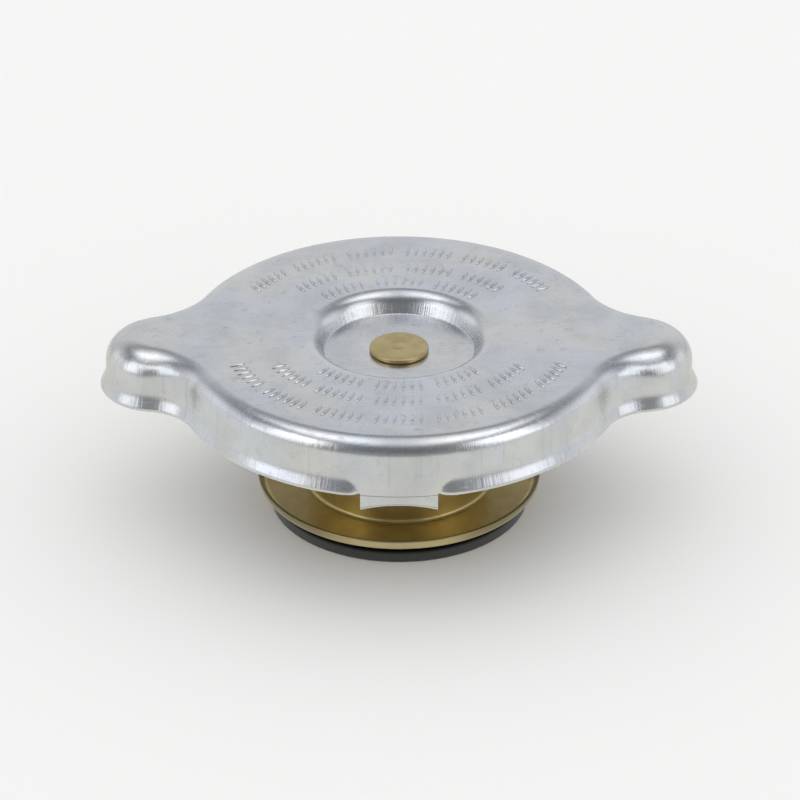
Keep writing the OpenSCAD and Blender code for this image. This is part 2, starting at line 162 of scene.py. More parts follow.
class SpringSizes(bpy.types.PropertyGroup):
    main_wire: length("Main wire", "Wire diameter of the main spring", 2.2)
    main_turns: number("Main turns", "Turns of the main spring", 5.5, 3)
    vacuum_wire: length("Vacuum wire", "Wire diameter of the vacuum spring", 0.4)
    vacuum_turns: number("Vacuum turns", "Turns of the vacuum spring", 5, 3)


class Finishes(bpy.types.PropertyGroup):
    zinc: colour("Zinc", "Colour of the bright zinc plate", (0.66, 0.67, 0.685))
    brass: colour("Brass", "Colour of the drawn brass", (0.575, 0.46, 0.205))
    rivet: colour("Rivet", "Colour of the rivet's dull brass", (0.57, 0.465, 0.245))
    rubber: colour("Rubber", "Colour of the black rubber", (0.015, 0.015, 0.0155))
    steel: colour("Spring steel", "Colour of the springs and the diaphragm", (0.52, 0.53, 0.54))
    floor: colour("Floor", "Colour of the floor", (0.93, 0.93, 0.925))
    zinc_roughness: share("Zinc roughness", "Roughness of the zinc plate", 0.26)
    brass_roughness: share("Brass roughness", "Roughness of the drawn brass", 0.40)


class StageSettings(bpy.types.PropertyGroup):
    elevation: angle("Elevation", "Height of the camera over the horizon", 29.95)
    distance: length("Distance", "Distance of the camera from its target", 694.8)
    target_x: length("Target X", "Place of the camera's target along X", 0.135)
    target_z: length("Target height", "Height of the camera's target", 16.767)
    lens: number("Lens", "Focal length in millimetres", 206.8, 1)
    dome: number("Dome", "Strength of the even light on matt faces", 1)
    floor_size: length("Floor size", "Side of the square floor", 8000)
    box_width: length("Box width", "Width of the light box in front of an ear", 39)
    box_height: length("Box height", "Height of the light box in front of an ear", 26)
    box_glow: number("Box glow", "Brightness of the light box in front of an ear", 1.2)


GROUPS = {
    "cap_shell": ShellSizes,
    "cap_ticks": TickSizes,
    "cap_valves": ValveSizes,
    "cap_springs": SpringSizes,
    "cap_finishes": Finishes,
    "cap_stage": StageSettings,
}


def sizes(group, names):
    """Lengths of a property group, by their names, in millimetres"""
    return [getattr(group, name) / MM for name in names.split()]


def calc(tree, operation, *values):
    """Math node on fields and numbers"""
    return add_node(tree, "ShaderNodeMath", dict(enumerate(values)), {"operation": operation})


class Field:
    """A node's output socket that takes part in Python expressions"""

    def __init__(self, tree, socket):
        self.tree = tree
        self.socket = socket

    def maths(self, operation, *others):
        return calc(self.tree, operation, self, *others)

    __add__ = __radd__ = partialmethod(maths, "ADD")
    __sub__ = partialmethod(maths, "SUBTRACT")
    __mul__ = partialmethod(maths, "MULTIPLY")
    __truediv__ = partialmethod(maths, "DIVIDE")
    __pow__ = partialmethod(maths, "POWER")
    __abs__ = partialmethod(maths, "ABSOLUTE")

    def __rsub__(self, other):
        return calc(self.tree, "SUBTRACT", other, self)

    def smooth(self, start, end):
        """0 before start, 1 after end and a smooth step between them"""
        inputs = {0: self, 1: start, 2: end, 3: 0.0, 4: 1.0}
        return add_node(self.tree, "ShaderNodeMapRange", inputs, {"interpolation_type": "SMOOTHSTEP"})

    def window(self, start, end, soft):
        """1 between start and end, with soft borders"""
        return self.smooth(start - soft, start + soft) * (1 - self.smooth(end - soft, end + soft))


def add_node(tree, kind, inputs=None, settings=None, out=0):
    """Adds a node, sets it up, gives its sockets values or links, and returns one of its outputs"""
    made = tree.nodes.new(kind)
    for name, value in (settings or {}).items():
        setattr(made, name, value)
    for key, value in (inputs or {}).items():
        if isinstance(value, Field):
            tree.links.new(value.socket, made.inputs[key])
        else:
            made.inputs[key].default_value = value
    return Field(tree, made.outputs[out])


def stretched(tree, vector, scale):
    """A vector with its parts multiplied by scale"""
    return add_node(tree, "ShaderNodeVectorMath", {0: vector, 1: scale}, {"operation": "MULTIPLY"})


def joined(tree, x=0.0, y=0.0, z=0.0):
    """A vector of three parts"""
    return add_node(tree, "ShaderNodeCombineXYZ", {0: x, 1: y, 2: z})


def parts_of(tree, vector):
    split = add_node(tree, "ShaderNodeSeparateXYZ", {0: vector}).socket.node
    return [Field(tree, socket) for socket in split.outputs]


def blend_colour(tree, factor, first, second):
    """Mix of two colours, each a colour or a link"""
    inputs = {0: factor}
    for key, tint in ((6, first), (7, second)):
        inputs[key] = tint if isinstance(tint, Field) else (*tint, 1)
    return add_node(tree, "ShaderNodeMix", inputs, {"data_type": "RGBA"}, out=2)


def tinted(tint, factor):
    """A colour times one number, or times a number for each of its parts"""
    factors = factor if isinstance(factor, tuple) else (factor,) * 3
    return tuple(min(1.0, part * times) for part, times in zip(tint, factors))


class Surface:
    """A new material and the places that its finish varies over, in millimetres"""

    def __init__(self, name):
        material = bpy.data.materials.new(name)
        material.use_nodes = True
        self.tree = material.node_tree
        self.tree.nodes.clear()
        raw = add_node(self.tree, "ShaderNodeTexCoord", out=3)
        self.spot = stretched(self.tree, raw, (1 / MM,) * 3)
        self.x, self.y, self.z = parts_of(self.tree, self.spot)
        self.radius = (self.x * self.x + self.y * self.y) ** 0.5

    def noise(self, scale, detail, rough=0.5, vector=None):
        inputs = {"Vector": vector or self.spot, "Scale": scale, "Detail": detail, "Roughness": rough}
        return add_node(self.tree, "ShaderNodeTexNoise", inputs)

    def mix(self, factor, first, second):
        return blend_colour(self.tree, factor, first, second)

    def close(self, inputs, height=None, depth=0):
        """Ends in a shader, with a bump where a height field is given; depth is in millimetres"""
        if height is not None:
            relief = {"Height": height, "Distance": depth * MM, "Strength": 1.0}
            inputs["Normal"] = add_node(self.tree, "ShaderNodeBump", relief)
        shader = add_node(self.tree, "ShaderNodeBsdfPrincipled", inputs)
        output = self.tree.nodes.new("ShaderNodeOutputMaterial")
        self.tree.links.new(shader.socket, output.inputs["Surface"])


# Places where a finish changes, in millimetres: the level of the shell's bend and the radius of its recess
# wall, the radius of the plate's rim and the X where its painted pale reflection in front gives way to
# painted shade at its sides, and the levels and border of the seal's painted shade
SHELL_BEND = (26.6, 27.4)
RECESS_WALL = (10.6, 11.6)
PLATE_RIM = (20.3, 21.0)
PAINTED_RIM_SIDES = (5, 13)
SEAL_SHADE = (1.65, 3.0, 0.35)


def bright_zinc(finish):
    """Bright zinc on pressed steel: cloudy tone, rubbed scratches, and drawing streaks on bent faces"""
    m, zinc = Surface("bright_zinc"), finish.zinc
    around = add_node(m.tree, "ShaderNodeAttribute", None, {"attribute_name": "around"}, out=1)
    ax, ay, _ = parts_of(m.tree, around)
    clouds = m.noise(0.16, 4.0, 0.6)
    stains = m.noise(0.55, 5.0, 0.62).smooth(0.56, 0.78)
    waves = m.noise(0.14, 1.0)
    grain = m.noise(2.2, 1.0)
    hues = m.noise(0.09, 3.0, 0.6).smooth(0.35, 0.65)
    scratch_a = m.noise(1.0, 2.0, 0.5, stretched(m.tree, m.spot, (0.25, 3.0, 3.0))).smooth(0.58, 0.70)
    scratch_b = m.noise(1.0, 2.0, 0.5, stretched(m.tree, m.spot, (3.0, 0.3, 3.0))).smooth(0.60, 0.72)
    streaks = m.noise(1.0, 2.0, 0.6, joined(m.tree, ax * 1.1, ay * 1.1, m.z * 0.10))
    hairs = m.noise(1.0, 1.0, 0.5, joined(m.tree, ax * 3.2, ay * 3.2, m.z * 0.25))
    bent = (1 - m.z.smooth(*SHELL_BEND)) * m.radius.smooth(*RECESS_WALL)
    tone = m.mix(hues, tinted(zinc, (0.94, 0.97, 1.02)), tinted(zinc, (1.02, 1.0, 0.955)))
    tone = m.mix(clouds.smooth(0.35, 0.7) * 0.7, tone, tinted(zinc, 0.84))
    tone = m.mix(stains * 0.5, tone, tinted(zinc, 0.66))
    tone = m.mix(bent * streaks.smooth(0.55, 0.8) * 0.35, tone, tinted(zinc, 0.66))
    rough = finish.zinc_roughness + (clouds - 0.5) * 0.10 + stains * 0.12 + scratch_a * 0.06
    height = grain * 0.3 + scratch_a * 0.35 + scratch_b * 0.3 + waves * 9.0
    height = height + bent * (streaks * 5.0 + hairs * 1.5)
    m.close({"Base Color": tone, "Metallic": 1.0, "Roughness": rough}, height, 0.010)


def drawn_brass(finish, name="drawn_brass", tint=None, turned=0.0):
    """Drawn brass with tarnish, fine rings from the tool, a painted pale reflection on the rim in front and
    painted shade on the rim at its sides
    """
    m = Surface(name)
    tint = finish.brass if tint is None else tint
    rings = m.noise(2.5, 1.0, 0.5, joined(m.tree, m.radius, m.z))
    clouds = m.noise(0.30, 4.0, 0.6)
    grain = m.noise(3.0, 1.0)
    spots = m.noise(1.6, 3.0, 0.6).smooth(0.66, 0.76)
    # Masks of the plate's rim and of its sides, which carry a painted reflection in front and painted shade
    # at the sides
    rim, side = m.radius.smooth(*PLATE_RIM), abs(m.x).smooth(*PAINTED_RIM_SIDES)
    tone = m.mix(clouds.smooth(0.35, 0.72), tint, tinted(tint, (0.86, 0.82, 0.74)))
    tone = m.mix(spots * 0.35, tone, tinted(tint, (0.45, 0.38, 0.30)))
    # Painted pale, bluish reflection on the rim in front, then painted shade darkening the rim at its sides
    tone = m.mix(rim * (1 - side) * 0.75, tone, tinted(tint, (0.74, 0.80, 1.08)))
    tone = m.mix(rim * side * 0.85, tone, tinted(tint, (0.30, 0.31, 0.40)))
    rough = finish.brass_roughness + (clouds - 0.5) * 0.14 + (rings - 0.5) * 0.10
    height = rings * (0.6 + 1.2 * turned) + grain * 0.3
    m.close({"Base Color": tone, "Metallic": 1.0, "Roughness": rough}, height, 0.010)


def moulded_rubber(finish):
    """Black rubber with a dusty bloom, fine lines round the ring and a shade under the plate's rim"""
    m, rubber = Surface("moulded_rubber"), finish.rubber
    lines = m.noise(4.0, 4.0, 0.7, joined(m.tree, m.radius, m.z))
    bloom = m.noise(1.0, 5.0, 0.65, stretched(m.tree, m.spot, (0.5, 0.5, 1.6)))
    grain = m.noise(5.0, 3.0, 0.7)
    dust = m.noise(3.2, 2.0, 0.6).smooth(0.68, 0.78)
    shaded = m.z.window(*SEAL_SHADE)
    tone = m.mix(bloom.smooth(0.35, 0.75), rubber, tinted(rubber, 1.9))
    tone = m.mix(lines.smooth(0.5, 0.75) * 0.5, tone, tinted(rubber, 2.3))
    tone = m.mix(dust * 0.5, tone, (0.16, 0.155, 0.15))
    tone = m.mix(shaded * 0.9, tone, tinted(rubber, 0.15))
    inputs = {
        "Base Color": tone,
        "Roughness": 0.52 + (bloom - 0.5) * 0.25,
        "Specular IOR Level": 0.45 - shaded * 0.42,
    }
    m.close(inputs, lines + grain * 0.8 + bloom * 1.5, 0.03)


def drawn_steel(finish):
    """Plain drawn spring steel with a faint oil tint"""
    m, steel = Surface("drawn_steel"), finish.steel
    clouds = m.noise(0.5, 4.0, 0.6)
    grain = m.noise(6.0, 4.0, 0.7)
    tone = m.mix(clouds.smooth(0.35, 0.7), steel, tinted(steel, 0.78))
    tone = m.mix(grain.smooth(0.55, 0.8) * 0.4, tone, (0.40, 0.38, 0.34))
    rough = 0.34 + (clouds - 0.5) * 0.2
    m.close({"Base Color": tone, "Metallic": 1.0, "Roughness": rough}, grain + clouds * 2.0, 0.012)


def pale_floor(finish):
    """Matt pale board"""
    m = Surface("pale_floor")
    tone = m.mix(m.noise(0.01, 3.0), tinted(finish.floor, 0.985), finish.floor)
    m.close({"Base Color": tone, "Roughness": 0.9, "Specular IOR Level": 0.1})


MATERIALS = {
    "bright_zinc": bright_zinc,
    "drawn_brass": drawn_brass,
    "rivet_brass": lambda f: drawn_brass(f, "rivet_brass", f.rivet, 0.35),
    "moulded_rubber": moulded_rubber,
    "drawn_steel": drawn_steel,
    "pale_floor": pale_floor,
}


def material(name):
    """The named material, made at its first use"""
    if name not in bpy.data.materials:
        MATERIALS[name](bpy.context.scene.cap_finishes)
    return bpy.data.materials[name]


def new_piece(name, mesh):
    piece = bpy.data.objects.new(name, mesh)
    bpy.context.scene.collection.objects.link(piece)
    return piece


def finish_mesh(mesh, crease=38):
    """Merges doubles, turns the faces outwards and shades smooth up to the crease angle"""
    work = bmesh.new()
    work.from_mesh(mesh)
    loose = [v for v in work.verts if not v.link_faces]
    bmesh.ops.delete(work, geom=loose, context="VERTS")
    bmesh.ops.remove_doubles(work, verts=work.verts, dist=1e-8)
    bmesh.ops.recalc_face_normals(work, faces=work.faces)
    work.to_mesh(mesh)
    work.free()
    mesh.shade_smooth()
    mesh.set_sharp_from_angle(angle=math.radians(crease))
    mesh.update()


def settle(piece, body, nodes=()):
    """Puts a finished piece on its body, in place of its CAD nodes"""
    if not piece.data.polygons:
        raise RuntimeError(f"{piece.name} has no faces")
    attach(piece, body)
    if nodes:
        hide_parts(*nodes)


def rounded(corners, step=9.0):
    """Points of a closed outline whose corners (x, y, radius) are rounded"""
    points = []
    count = len(corners)
    for i, (x, y, radius) in enumerate(corners):
        here = np.array((x, y), float)
        before = np.array(corners[i - 1][:2], float) - here
        after = np.array(corners[(i + 1) % count][:2], float) - here
        len_b, len_a = np.linalg.norm(before), np.linalg.norm(after)
        before, after = before / len_b, after / len_a
        turn = math.pi - math.acos(max(-1, min(1, float(before @ after))))
        if radius <= 0 or turn < 1e-4:
            points.append(tuple(here))
            continue
        back = radius * math.tan(turn / 2)
        start, end = here + before * back, here + after * back
        middle = (before + after) / np.linalg.norm(before + after)
        centre = here + middle * radius / math.cos(turn / 2)
        first = math.atan2(*(start - centre)[::-1])
        last = math.atan2(*(end - centre)[::-1])
        swing = (last - first + math.pi) % (2 * math.pi) - math.pi
        steps = max(2, int(math.degrees(abs(swing)) / step))
        for k in range(steps + 1):
            a = first + swing * k / steps
            points.append((centre[0] + radius * math.cos(a), centre[1] + radius * math.sin(a)))
    return points


def quad(i, k, j, columns):
    """Face of a grid that closes sideways, between the rows i and k and after the column j"""
    m = (j + 1) % columns
    return i * columns + j, i * columns + m, k * columns + m, k * columns + j


def turned_mesh(name, profile, segments, poles):
    """Lathes a closed outline of (radius, height) in millimetres, or an open one that ends on the axis"""
    verts, faces = [], []
    angles = np.linspace(0, 2 * math.pi, segments, endpoint=False)
    body = profile[1:-1] if poles else profile
    for radius, height in body:
        verts += [(radius * math.cos(a), radius * math.sin(a), height) for a in angles]
    rows = len(body)
    for i in range(rows - 1 if poles else rows):
        faces += [quad(i, (i + 1) % rows, j, segments) for j in range(segments)]
    if poles:
        for end, row in ((profile[0], 0), (profile[-1], rows - 1)):
            tip, first = len(verts), row * segments
            verts.append((0, 0, end[1]))
            faces += [(tip, first + j, first + (j + 1) % segments) for j in range(segments)]
    mesh = bpy.data.meshes.new(name)
    mesh.from_pydata([(x * MM, y * MM, z * MM) for x, y, z in verts], [], faces)
    finish_mesh(mesh)
    return mesh


def turned_piece(name, corners, finish, body, node, poles=False):
    """Lathes a rounded outline, or with poles one that ends on the axis, in place of a CAD node"""
    profile = rounded(corners)
    if poles:
        profile = [p for p in profile if p[0] > 1e-6]
        profile = [(0, profile[0][1])] + profile + [(0, profile[-1][1])]
    segments = bpy.context.scene.cap_valves.segments
    piece = new_piece(name, turned_mesh(name, profile, segments, poles))
    piece.data.materials.append(material(finish))
    settle(piece, body, [node])


def arc(centre, radius, start, end, count, hollow=False):
    """Points and outward normals of an arc, without its last point; angles in degrees"""
    a = np.radians(np.linspace(start, end, count, endpoint=False))
    ray = np.stack([np.cos(a), np.sin(a)], 1)
    return np.array(centre) + radius * ray, -ray if hollow else ray


class ShellForm:
    """The pressed shell as a closed grid: columns follow its outline and rows its section"""

    # Columns of the outline's runs, and rows of the section's runs
    EAR, HOLLOW, WALL, TAB = 56, 26, 84, 40
    FLOOR_ROWS, FOOT_ROWS, LIP_ROWS, TOP_ROWS = 4, 8, 17, 6
    BEND_ROWS, WALL_ROWS, FLARE_ROWS, RIM_ROWS = 16, 4, 19, 10
    CREASE_ROWS, TAB_ROWS, FOLD_ROWS, LUG_ROWS = 9, 4, 9, 6
    # Start and length of the change to the ears' bend along X, in skirt radii
    EAR_START, EAR_RUN = 0.92, 0.28
    # How fast the flare comes in beside a tab, and how softly, in millimetres
    FADE_POWER, ONSET, SOFT = 6, 6, 0.02
    # Half step that a slope is measured over, and plain wall over the flare, in millimetres
    STEP, PLAIN = 0.005, 0.3
    # Crease of a tab, in millimetres from the rim: its plain borders, its top, height and depth
    CREASE_START, CREASE_END = 0.24, -0.2
    CREASE_TOP, CREASE_TALL, CREASE_DEEP = 0.2, 0.36, 0.05

    def __init__(self, s):
        self.r, self.t, self.flare_h, self.flare_r = sizes(s, "skirt_radius sheet flare_height flare_radius")
        span, ear_r, hollow = sizes(s, "ear_span ear_radius hollow_radius")
        self.recess, self.depth, self.lip = sizes(s, "recess_radius recess_depth lip_radius")
        self.foot, self.hole, self.lug = sizes(s, "foot_radius hole_radius lug_reach")
        width, drop, arch, self.fold = sizes(s, "tab_width tab_drop tab_arch fold_height")
        tall, edge, ear_edge = sizes(s, "skirt_height edge_radius ear_edge")
        self.flare_a, self.wall_a = s.flare_slope, s.wall_slope
        self.top = high("shell")
        self.rim = self.top - tall
        self.half = width / 2
        self.arch_r = (self.half**2 + arch**2) / (2 * arch)
        self.tab_z = self.rim - drop
        self.fade_end = math.sin(s.fade_angle)
        self.fade_start = self.half / self.r
        self.outline(span / 2 - ear_r, ear_r, hollow)
        ear = np.clip((np.abs(self.p[:, 0]) - self.EAR_START * self.r) / (self.EAR_RUN * self.r), 0, 1)
        self.edge = edge + (ear_edge - edge) * ear * ear * (3 - 2 * ear)

    def outline(self, ear_x, ear_r, hollow):
        """Columns of the outer face: places, outward normals and the spans of the two tabs"""
        fx = (ear_x**2 + (self.r + hollow) ** 2 - (ear_r + hollow) ** 2) / (2 * ear_x)
        fy = math.sqrt((self.r + hollow) ** 2 - fx**2)
        a = math.degrees(math.atan2(fy, fx))
        b = math.degrees(math.atan2(fy, fx - ear_x))
        tab = math.degrees(math.asin(self.half / self.r))
        places, normals, self.tabs = [], [], []
        for turn in (0, 180):
            side = 1 if turn == 0 else -1
            runs = [
                arc((side * ear_x, 0), ear_r, turn - b, turn + b, self.EAR),
                arc((side * fx, side * fy), hollow, turn + 180 + b, turn + 180 + a, self.HOLLOW, True),
                arc((0, 0), self.r, turn + a, turn + 90 - tab, self.WALL),
                arc((0, 0), self.r, turn + 90 - tab, turn + 90 + tab, self.TAB),
                arc((0, 0), self.r, turn + 90 + tab, turn + 180 - a, self.WALL),
                arc((-side * fx, side * fy), hollow, turn - a, turn - b, self.HOLLOW, True),
            ]
            first = sum(len(p) for p in places) + sum(len(p) for p, n in runs[:3])
            self.tabs.append((first, first + self.TAB))
            places += [p for p, n in runs]
            normals += [n for p, n in runs]
        self.p = np.concatenate(places)
        self.n = np.concatenate(normals)
        step = np.linalg.norm(np.roll(self.p, -1, 0) - self.p, axis=1)
        self.along = np.concatenate([[0], np.cumsum(step)[:-1]])
        self.whole = step.sum()
        off = np.abs(self.p[:, 0]) / self.r
        ramp = (off - self.fade_start) / (self.fade_end - self.fade_start)
        self.fade = np.clip(np.where(np.abs(self.p[:, 1]) > 0.5 * self.r, ramp, 1), 0, 1)
        self.fade = 1 - (1 - self.fade) ** self.FADE_POWER

    def flare(self, z):
        """Outward place of the flare at the levels z, for every column"""
        full = self.profile(self.rim + self.flare_h - z)
        most = self.profile(self.flare_h)
        out = full - (1 - self.fade) * (most + self.SOFT)
        eased = 0.5 * (out + np.sqrt(out**2 + self.SOFT**2) - self.SOFT)
        return eased * np.minimum(1, self.fade * self.ONSET)

    def profile(self, deep):
        """Outward place of the full flare at a depth below its start: a bend, then a straight cone"""
        bend = np.clip(deep, 0, self.flare_r * math.sin(self.flare_a))
        cone = np.clip(deep - self.flare_r * math.sin(self.flare_a), 0, None)
        return self.flare_r - np.sqrt(self.flare_r**2 - bend**2) + cone * math.tan(self.flare_a)

    def slope(self, z):
        """Lean of the flare at the levels z"""
        return (self.flare(z - self.STEP) - self.flare(z + self.STEP)) / (2 * self.STEP)

    def lifted(self, d, z, nd, nz, depth):
        """Grid row at the outward place d and level z, moved inwards by depth along its normal"""
        d, z = d - depth * nd, z - depth * nz
        flat = self.p + self.n * np.broadcast_to(d, len(self.p))[:, None]
        return np.column_stack([flat, np.broadcast_to(z, len(self.p))])

    def inner_rows(self, depth):
        """Rows of the recess and the flat top, from the rivet's hole outwards"""
        c, s = math.cos(self.wall_a), math.sin(self.wall_a)
        floor = self.top - self.depth
        drop = self.depth - self.lip * (1 - s) - self.foot * (1 - s)
        foot_x = self.recess - self.lip * c - drop * s / c - self.foot * c
        section = [(r, floor, 0, 1) for r in np.linspace(self.hole, foot_x, self.FLOOR_ROWS)[:-1]]
        for k in np.linspace(-math.pi / 2, -self.wall_a, self.FOOT_ROWS):
            x, y = math.cos(k), math.sin(k)
            section.append((foot_x + self.foot * x, floor + self.foot * (1 + y), -x, -y))
        for k in np.linspace(math.pi - self.wall_a, math.pi / 2, self.LIP_ROWS):
            x, y = math.cos(k), math.sin(k)
            section.append((self.recess + self.lip * x, self.top - self.lip * (1 - y), x, y))
        a = np.arctan2(self.p[:, 1], self.p[:, 0])
        ray = np.stack([np.cos(a), np.sin(a)], 1)
        rows = []
        for r, z, nr, nz in section:
            flat = ray * (r - depth * nr)
            rows.append(np.column_stack([flat, np.full(len(a), z - depth * nz)]))
        border = self.p - self.n * self.edge[:, None]
        lip = ray * self.recess
        for k in np.linspace(0, 1, self.TOP_ROWS)[1:-1]:
            flat = lip + (border - lip) * k
            rows.append(np.column_stack([flat, np.full(len(a), self.top - depth)]))
        return rows

    def outer_rows(self, depth):
        """Rows of the bend, the wall and the flare, downwards"""
        rows = []
        level = self.top - self.edge
        for k in np.radians(np.linspace(0, 90, self.BEND_ROWS)):
            c, s = math.cos(k), math.sin(k)
            rows.append(self.lifted(self.edge * (s - 1), level + self.edge * c, s, c, depth))
        top = self.rim + self.flare_h + self.PLAIN
        for z in np.linspace(level, top, self.WALL_ROWS)[1:]:
            rows.append(self.lifted(0, z, 1, 0, depth))
        end = np.full(len(self.p), self.rim + self.t / 2)
        for _ in range(5):
            slope = self.slope(end)
            end = self.rim + self.t / 2 * (1 + slope / np.sqrt(1 + slope**2))
        for k in np.linspace(0, 1, self.FLARE_ROWS)[1:]:
            z = top + (end - top) * k
            slope = self.slope(z)
            long = np.sqrt(1 + slope**2)
            rows.append(self.lifted(self.flare(z), z, 1 / long, slope / long, depth))
        self.end = end
        return rows

    def rim_rows(self):
        """Half round of the sheet's edge"""
        slope = self.slope(self.end)
        long = np.sqrt(1 + slope**2)
        nd, nz = 1 / long, slope / long
        half = self.t / 2
        d, z = self.flare(self.end) - half * nd, self.end - half * nz
        rows = []
        for k in np.radians(np.linspace(0, 180, self.RIM_ROWS)[1:-1]):
            c, s = math.cos(k), math.sin(k)
            rows.append(self.lifted(d + half * (nd * c + nz * s), z + half * (nz * c - nd * s), 0, 0, 0))
        return rows

    def tab_rows(self, columns, depth):
        """Rows of a tab below the skirt: wall, fold and arched lug"""
        x, back = self.p[columns, 0], np.sign(self.p[columns, 1])
        floor = self.tab_z - self.arch_r + np.sqrt(self.arch_r**2 - x**2)
        bend = self.tab_z + self.fold
        path = [(0, self.rim + self.CREASE_START, 1.0, 0.0)]
        for k in np.linspace(0, math.pi, self.CREASE_ROWS):
            level = self.rim + self.CREASE_TOP - self.CREASE_TALL * k / math.pi
            path.append((-self.CREASE_DEEP * math.sin(k), level, 1.0, 0.0))
        path += [(0, z, 1.0, 0.0) for z in np.linspace(self.rim + self.CREASE_END, bend, self.TAB_ROWS)]
        for k in np.radians(np.linspace(0, 90, self.FOLD_ROWS)[1:]):
            c, s = math.cos(k), math.sin(k)
            path.append((self.fold * (c - 1), bend - (bend - floor) * s, c, -s))
        for d in np.linspace(-self.fold, -self.lug, self.LUG_ROWS)[1:]:
            path.append((d, floor, 0.0, -1.0))
        rows = []
        for d, z, nd, nz in path:
            radius = self.r + d - depth * nd
            y = np.sqrt(radius**2 - x**2) * back
            rows.append(np.column_stack([x, y, np.broadcast_to(z - depth * nz, len(x))]))
        return rows

    def mesh(self, name):
        """The grid with its two tabs as one closed mesh"""
        outer = self.inner_rows(0) + self.outer_rows(0)
        inner = self.inner_rows(self.t) + self.outer_rows(self.t)
        rim = self.rim_rows()
        rows = outer + rim + inner[::-1]
        columns = len(self.p)
        verts = [np.concatenate(rows)]
        last_out, first_in = len(outer) - 1, len(outer) + len(rim)
        in_tab = np.zeros(columns, bool)
        for first, last in self.tabs:
            in_tab[first:last] = True
        faces = []
        for i in range(len(rows)):
            k = (i + 1) % len(rows)
            edge = last_out <= i < first_in
            faces += [quad(i, k, j, columns) for j in range(columns) if not (edge and in_tab[j])]
        count = len(rows) * columns
        for first, last in self.tabs:
            chosen = np.arange(first, last + 1)
            skins = []
            for depth, border in ((0, last_out), (self.t, first_in)):
                grid = [border * columns + chosen]
                for row in self.tab_rows(chosen, depth):
                    verts.append(row)
                    grid.append(np.arange(count, count + len(chosen)))
                    count += len(chosen)
                skins.append(grid)
                for a, b in zip(grid, grid[1:]):
                    faces += [(a[j], a[j + 1], b[j + 1], b[j]) for j in range(len(chosen) - 1)]
            front, rear = skins
            tip_a, tip_b = front[-1], rear[-1]
            faces += [(tip_a[j], tip_a[j + 1], tip_b[j + 1], tip_b[j]) for j in range(len(chosen) - 1)]
            for j in (0, -1):
                faces += [(a[j], b[j], d[j], c[j]) for a, b, c, d in zip(front, front[1:], rear, rear[1:])]
                faces.append([i * columns + chosen[j] for i in range(last_out, first_in + 1)])
        mesh = bpy.data.meshes.new(name)
        mesh.from_pydata(np.concatenate(verts) * MM, [], [tuple(int(i) for i in f) for f in faces])
        self.note_around(mesh, len(rows), count)
        finish_mesh(mesh)
        return mesh

    def note_around(self, mesh, rows, count):
        """Writes each point's place along the outline as a point of a circle of the same length"""
        turn = 2 * math.pi * self.along / self.whole
        ring = np.column_stack([np.cos(turn), np.sin(turn), 0 * turn]) * self.whole / (2 * math.pi)
        done = rows * len(turn)
        each = (count - done) // len(self.tabs)
        values = np.zeros((count, 3))
        values[:done] = np.tile(ring, (rows, 1))
        for first, last in self.tabs:
            part = ring[first : last + 1]
            values[done : done + each] = np.tile(part, (each // len(part), 1))
            done += each
        layer = mesh.attributes.new("around", "FLOAT_VECTOR", "POINT")
        layer.data.foreach_set("vector", values.ravel())


def new_tree(name, floats, ints):
    """Geometry node tree with named inputs; returns the tree and its inputs as fields"""
    tree = bpy.data.node_groups.new(name, "GeometryNodeTree")
    tree.is_modifier = True
    tree.interface.new_socket("Geometry", in_out="OUTPUT", socket_type="NodeSocketGeometry")
    for labels, kind in ((floats, "NodeSocketFloat"), (ints, "NodeSocketInt")):
        for label in labels.split():
            tree.interface.new_socket(label, in_out="INPUT", socket_type=kind)
    entry = tree.nodes.new("NodeGroupInput")
    return tree, {socket.name: Field(tree, socket) for socket in entry.outputs if socket.name}


def close_tree(tree, geometry, finish):
    """Ends a tree in Realize Instances and Set Material"""
    real = add_node(tree, "GeometryNodeRealizeInstances", {"Geometry": geometry})
    soft = add_node(tree, "GeometryNodeSetShadeSmooth", {"Geometry": real})
    painted = add_node(tree, "GeometryNodeSetMaterial", {"Geometry": soft, "Material": finish})
    exit_node = tree.nodes.new("NodeGroupOutput")
    tree.links.new(painted.socket, exit_node.inputs["Geometry"])


def grown_piece(name, tree, values):
    """Object whose mesh the tree makes from the values, turned into a plain mesh"""
    piece = new_piece(name, bpy.data.meshes.new(name))
    modifier = piece.modifiers.new("nodes", "NODES")
    modifier.node_group = tree
    for item in tree.interface.items_tree:
        if item.item_type == "SOCKET" and item.in_out == "INPUT":
            modifier[item.identifier] = values[item.name]
    graph = bpy.context.evaluated_depsgraph_get()
    mesh = bpy.data.meshes.new_from_object(piece.evaluated_get(graph))
    mesh.name = name
    piece.modifiers.clear()
    piece.data = mesh
    return piece


def tick_tree(finish):
    """Row of raised radial ticks on an arc round the axis, with blank places between groups"""
    tree, given = new_tree("tick_row", "Radius Start Step Level Stroke Width Rise", "Count Group")
    points = add_node(tree, "GeometryNodePoints", {"Count": given["Count"]})
    index = add_node(tree, "GeometryNodeInputIndex")
    turn, radius = given["Start"] + index * given["Step"], given["Radius"]
    spot = joined(tree, radius * turn.maths("COSINE"), radius * turn.maths("SINE"), given["Level"])
    placed = add_node(tree, "GeometryNodeSetPosition", {"Geometry": points, "Position": spot})
    blank = index.maths("MODULO", given["Group"]).maths("COMPARE", given["Group"] - 1, 0.1)
    dropped = {"Geometry": placed, "Selection": blank}
    kept = add_node(tree, "GeometryNodeDeleteGeometry", dropped, {"domain": "POINT"})
    dome = add_node(tree, "GeometryNodeMeshUVSphere", {"Segments": 12, "Rings": 6, "Radius": 0.5})
    size = joined(tree, given["Stroke"], given["Width"], given["Rise"] * 2)
    rotation = add_node(tree, "FunctionNodeEulerToRotation", {0: joined(tree, z=turn)})
    inputs = {"Points": kept, "Instance": dome, "Rotation": rotation, "Scale": size}
    close_tree(tree, add_node(tree, "GeometryNodeInstanceOnPoints", inputs), finish)
    return tree


# Pitch of a coil's close end turns, in wires
CLOSE_PITCH = 1.05


